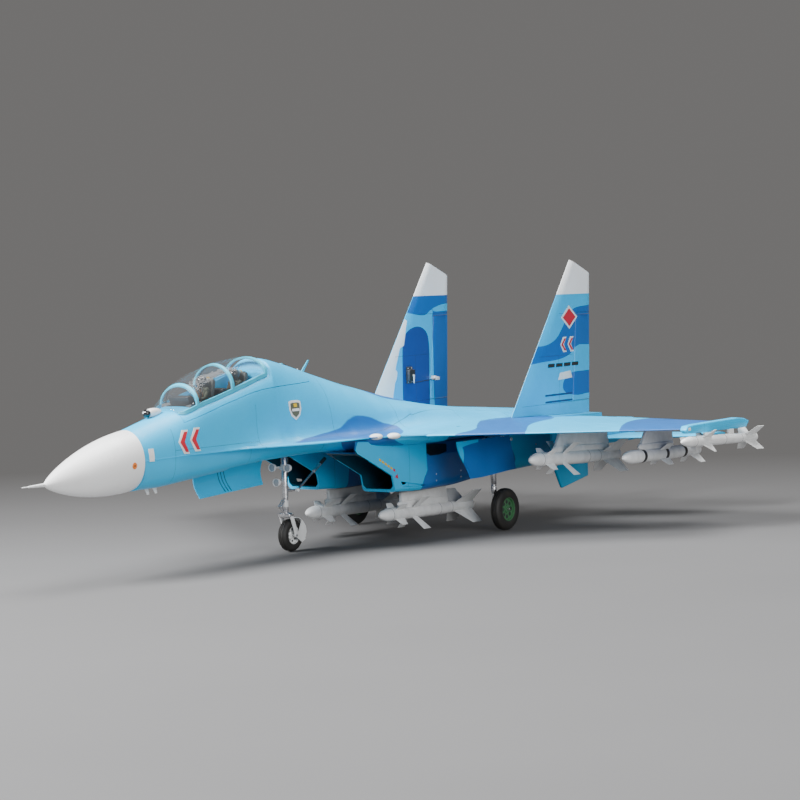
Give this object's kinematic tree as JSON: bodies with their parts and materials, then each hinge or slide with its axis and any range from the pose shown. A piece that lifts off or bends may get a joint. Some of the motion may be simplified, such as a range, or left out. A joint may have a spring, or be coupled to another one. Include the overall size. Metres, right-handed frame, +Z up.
{
  "type": "radio-controlled ducted-fan jet plane",
  "caption": "Two-seat twin-fin model jet with under-slung ducted-fan nacelles, folding tricycle gear, lift-off hatch, hinged control surfaces and white stores under the wings",
  "frame": {"origin": "on the ground plane under the middle of the bounding box, wheels down", "axes": "+X to port, -Y towards the nose, +Z up"},
  "size_m": [1.2564, 1.8818, 0.5483],
  "materials": {
    "sky_paint": "satin painted foam, turquoise with blue patches",
    "fin_paint": "satin painted foam in two blues",
    "white_paint": "satin white paint on moulded plastic and foam",
    "gloss_black": "polished",
    "clear_canopy": "clear vacuum-formed sheet",
    "dark_plastic": "moulded",
    "pilot_paint": "painted figure",
    "gunmetal_paint": "dark metallic paint",
    "bright_metal": "machined",
    "tyre_rubber": "moulded rubber over a green plastic hub"
  },
  "bodies": {
    "airframe": {"nose_cone": "white_paint", "pitot_probe": "white_paint", "forward_fuselage": "sky_paint", "mid_fuselage": "sky_paint", "rear_fuselage": "sky_paint", "tail_stinger": "gunmetal_paint", "sensor_ball": "gloss_black", "sensor_fairing": "white_paint", "battery_pack": "dark_plastic", "speed_controller": "dark_plastic", "nose_retract_unit": "dark_plastic", "left_nacelle": "sky_paint", "left_wing": "sky_paint", "left_fin": "fin_paint", "left_ventral_fin": "sky_paint", "left_fan_housing": "dark_plastic", "left_exhaust_nozzle": "gunmetal_paint", "left_belly_missile": "white_paint", "left_inner_missile": "white_paint", "left_outer_missile": "white_paint", "left_wingtip_missile": "white_paint", "right_nacelle": "sky_paint", "right_wing": "sky_paint", "right_fin": "fin_paint", "right_ventral_fin": "sky_paint", "right_fan_housing": "dark_plastic", "right_exhaust_nozzle": "gunmetal_paint", "right_belly_missile": "white_paint", "right_inner_missile": "white_paint", "right_outer_missile": "white_paint", "right_wingtip_missile": "white_paint"},
    "hatch": {"canopy_hatch": "sky_paint", "canopy_glass": "clear_canopy", "cockpit_tub": "dark_plastic", "front_pilot": "pilot_paint", "rear_pilot": "pilot_paint"},
    "nose_leg": {"nose_strut": "bright_metal"},
    "nose_fork": {"nose_fork": "white_paint"},
    "nose_wheel": {"nose_wheel": "tyre_rubber"},
    "nose_brace": {"nose_drag_brace": "bright_metal"},
    "nose_door": {"nose_gear_door": "sky_paint"},
    "left_fan_rotor": {"left_fan_rotor": "gunmetal_paint"},
    "left_flaperon": {"left_flaperon": "sky_paint"},
    "left_rudder": {"left_rudder": "fin_paint"},
    "left_stabilator": {"left_stabilator": "sky_paint"},
    "left_main_trunnion": {"left_main_trunnion": "bright_metal"},
    "left_main_leg": {"left_main_leg": "bright_metal"},
    "left_main_axle": {"left_main_axle": "bright_metal"},
    "left_main_wheel": {"left_main_wheel": "tyre_rubber"},
    "left_main_gear_door": {"left_main_gear_door": "sky_paint"},
    "right_fan_rotor": {"right_fan_rotor": "gunmetal_paint"},
    "right_flaperon": {"right_flaperon": "sky_paint"},
    "right_rudder": {"right_rudder": "fin_paint"},
    "right_stabilator": {"right_stabilator": "sky_paint"},
    "right_main_trunnion": {"right_main_trunnion": "bright_metal"},
    "right_main_leg": {"right_main_leg": "bright_metal"},
    "right_main_axle": {"right_main_axle": "bright_metal"},
    "right_main_wheel": {"right_main_wheel": "tyre_rubber"},
    "right_main_gear_door": {"right_main_gear_door": "sky_paint"}
  },
  "joints": [
    {"name": "hatch_lift", "type": "slide", "parent": "airframe", "child": "hatch", "axis": [0, 0, 1], "range_m": [0, 0.12]},
    {"name": "nose_gear_fold", "type": "hinge", "parent": "airframe", "child": "nose_leg", "pos_m": [0, -0.179, 0.205], "axis": [-1, 0, 0], "range_deg": [0, 97]},
    {"name": "nose_steering", "type": "hinge", "parent": "nose_leg", "child": "nose_fork", "pos_m": [0, -0.179, 0.09], "axis": [0, 0, 1], "range_deg": [-30, 30]},
    {"name": "nose_wheel_spin", "type": "hinge", "parent": "nose_fork", "child": "nose_wheel", "pos_m": [0, -0.165, 0.032], "axis": [1, 0, 0], "continuous": true},
    {"name": "nose_brace_swing", "type": "hinge", "parent": "nose_leg", "child": "nose_brace", "pos_m": [0.0135, -0.156, 0.12], "axis": [-1, 0, 0], "range_deg": [-70, 0]},
    {"name": "nose_door_swing", "type": "hinge", "parent": "airframe", "child": "nose_door", "pos_m": [-0.036, -0.419, 0.171], "axis": [0, -0.9988, -0.0483], "range_deg": [0, 86]},
    {"name": "left_fan_spin", "type": "hinge", "parent": "airframe", "child": "left_fan_rotor", "pos_m": [0.092, 0.276, 0.148], "axis": [0, 1, 0], "continuous": true},
    {"name": "left_flaperon_hinge", "type": "hinge", "parent": "airframe", "child": "left_flaperon", "pos_m": [0.224, 0.508, 0.21772], "axis": [-0.9998, 0, 0.02], "range_deg": [-20, 25]},
    {"name": "left_rudder_hinge", "type": "hinge", "parent": "airframe", "child": "left_rudder", "pos_m": [0.183, 0.604, 0.25], "axis": [0, 0.1098, 0.994], "range_deg": [-25, 25]},
    {"name": "left_stabilator_pivot", "type": "hinge", "parent": "airframe", "child": "left_stabilator", "pos_m": [0.214, 0.756, 0.165], "axis": [-1, 0, 0], "range_deg": [-18, 18]},
    {"name": "left_main_gear_fold", "type": "hinge", "parent": "airframe", "child": "left_main_trunnion", "pos_m": [0.163, 0.319, 0.188], "axis": [-1, 0, 0], "range_deg": [0, 90]},
    {"name": "left_main_leg_twist", "type": "hinge", "parent": "left_main_trunnion", "child": "left_main_leg", "pos_m": [0.163, 0.319, 0.188], "axis": [0, 0, -1], "range_deg": [0, 90]},
    {"name": "left_main_suspension", "type": "slide", "parent": "left_main_leg", "child": "left_main_axle", "axis": [0, 0, 1], "range_m": [0, 0.01], "stiffness_N_per_m": 4000, "springref_m": -0.012},
    {"name": "left_main_wheel_spin", "type": "hinge", "parent": "left_main_axle", "child": "left_main_wheel", "pos_m": [0.189, 0.319, 0.0436], "axis": [1, 0, 0], "continuous": true},
    {"name": "left_main_door_swing", "type": "hinge", "parent": "airframe", "child": "left_main_gear_door", "pos_m": [0.2145, 0.14, 0.198], "axis": [0, 1, 0], "range_deg": [0, 70]},
    {"name": "right_fan_spin", "type": "hinge", "parent": "airframe", "child": "right_fan_rotor", "pos_m": [-0.092, 0.276, 0.148], "axis": [0, 1, 0], "continuous": true},
    {"name": "right_flaperon_hinge", "type": "hinge", "parent": "airframe", "child": "right_flaperon", "pos_m": [-0.224, 0.508, 0.21772], "axis": [-0.9998, 0, -0.02], "range_deg": [-20, 25]},
    {"name": "right_rudder_hinge", "type": "hinge", "parent": "airframe", "child": "right_rudder", "pos_m": [-0.183, 0.604, 0.25], "axis": [0, 0.1098, 0.994], "range_deg": [-25, 25]},
    {"name": "right_stabilator_pivot", "type": "hinge", "parent": "airframe", "child": "right_stabilator", "pos_m": [-0.214, 0.756, 0.165], "axis": [-1, 0, 0], "range_deg": [-18, 18]},
    {"name": "right_main_gear_fold", "type": "hinge", "parent": "airframe", "child": "right_main_trunnion", "pos_m": [-0.163, 0.319, 0.188], "axis": [-1, 0, 0], "range_deg": [0, 90]},
    {"name": "right_main_leg_twist", "type": "hinge", "parent": "right_main_trunnion", "child": "right_main_leg", "pos_m": [-0.163, 0.319, 0.188], "axis": [0, 0, 1], "range_deg": [0, 90]},
    {"name": "right_main_suspension", "type": "slide", "parent": "right_main_leg", "child": "right_main_axle", "axis": [0, 0, 1], "range_m": [0, 0.01], "stiffness_N_per_m": 4000, "springref_m": -0.012},
    {"name": "right_main_wheel_spin", "type": "hinge", "parent": "right_main_axle", "child": "right_main_wheel", "pos_m": [-0.189, 0.319, 0.0436], "axis": [1, 0, 0], "continuous": true},
    {"name": "right_main_door_swing", "type": "hinge", "parent": "airframe", "child": "right_main_gear_door", "pos_m": [-0.2145, 0.14, 0.198], "axis": [0, -1, 0], "range_deg": [0, 70]}
  ],
  "couplings": [
    {"joint": "nose_brace_swing", "follows": "nose_gear_fold", "ratio": -0.688},
    {"joint": "left_main_leg_twist", "follows": "left_main_gear_fold", "ratio": 1},
    {"joint": "right_main_leg_twist", "follows": "right_main_gear_fold", "ratio": 1}
  ]
}
